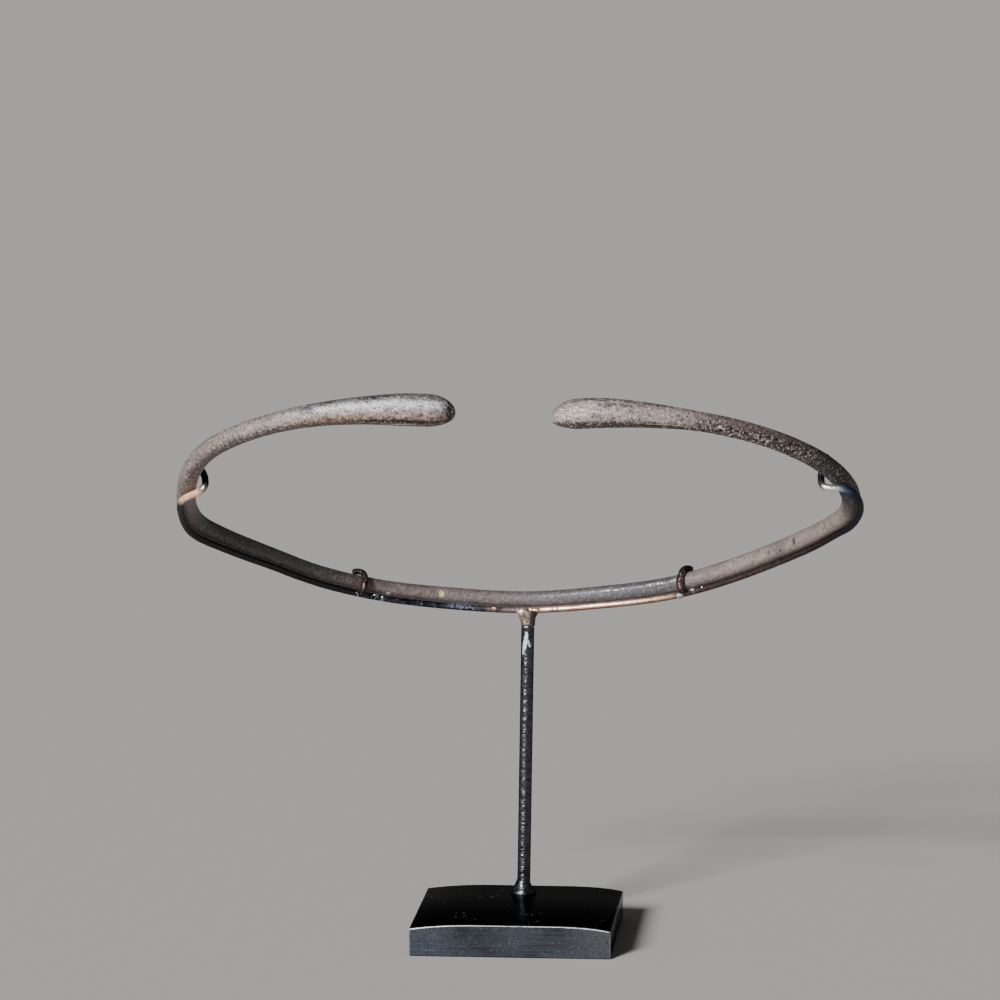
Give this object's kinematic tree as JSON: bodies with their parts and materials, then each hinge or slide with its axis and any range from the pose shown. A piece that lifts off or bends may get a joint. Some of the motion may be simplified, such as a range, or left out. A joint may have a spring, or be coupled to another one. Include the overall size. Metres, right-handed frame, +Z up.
{
  "type": "penannular bronze torc on a display stand",
  "caption": "Open neck ring of bronze bar with swollen terminals, held tilted on a hooked wire cradle, a thin rod and a low square steel block.",
  "frame": {"origin": "centre of the block's underside", "axes": "+Z up, +X to the right of someone who looks at the torc's opening, -Y towards that opening; the block's sides lie along X and Y"},
  "size_m": [0.1586, 0.1304, 0.1439],
  "materials": {
    "torc": "bronze with a smooth brown-grey patina, bluish and worn brighter in places, pitted and grainy elsewhere",
    "stand_base": "blackened steel with fine brush marks and bare bright edges",
    "stand_rod": "near-black mill finish with one bare flake",
    "foot_weld": "dark weld metal",
    "carrier_bar": "heat-tinted steel wire, blue in places and copper coloured near the braze",
    "clips": "dark brown steel wire",
    "top_braze": "pinkish brown braze, lightly oxidised"
  },
  "bodies": {
    "root": {"torc": "torc", "stand_base": "stand_base", "stand_rod": "stand_rod", "foot_weld": "foot_weld", "carrier_bar": "carrier_bar", "clip_left": "clips", "clip_right": "clips", "top_braze": "top_braze"}
  },
  "joints": []
}
